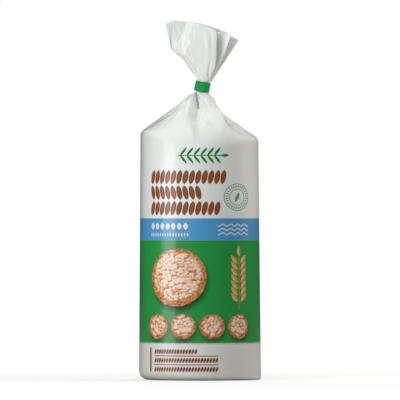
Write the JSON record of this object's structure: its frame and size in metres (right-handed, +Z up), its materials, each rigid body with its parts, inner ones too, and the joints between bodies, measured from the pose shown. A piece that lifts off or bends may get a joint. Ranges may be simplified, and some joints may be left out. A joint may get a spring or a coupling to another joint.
{
  "type": "packet of puffed rice cakes",
  "caption": "Shut film pack holding a round stack of puffed rice cakes, gathered above the stack to a neck closed by a band of tape, with the spare film open above it.",
  "frame": {"origin": "middle of the underside, on the surface that the pack stands on", "axes": "+Z up along the stack of cakes to the neck; the printed front faces -Y; +X is the pack's right seen from the front"},
  "size_m": [0.0976, 0.0981, 0.2868],
  "materials": {
    "film": "satin printed film, white with bands of blue and green",
    "tape": "satin green tape"
  },
  "bodies": {
    "root": {"film_bag": "film", "neck_band": "tape"}
  },
  "joints": []
}
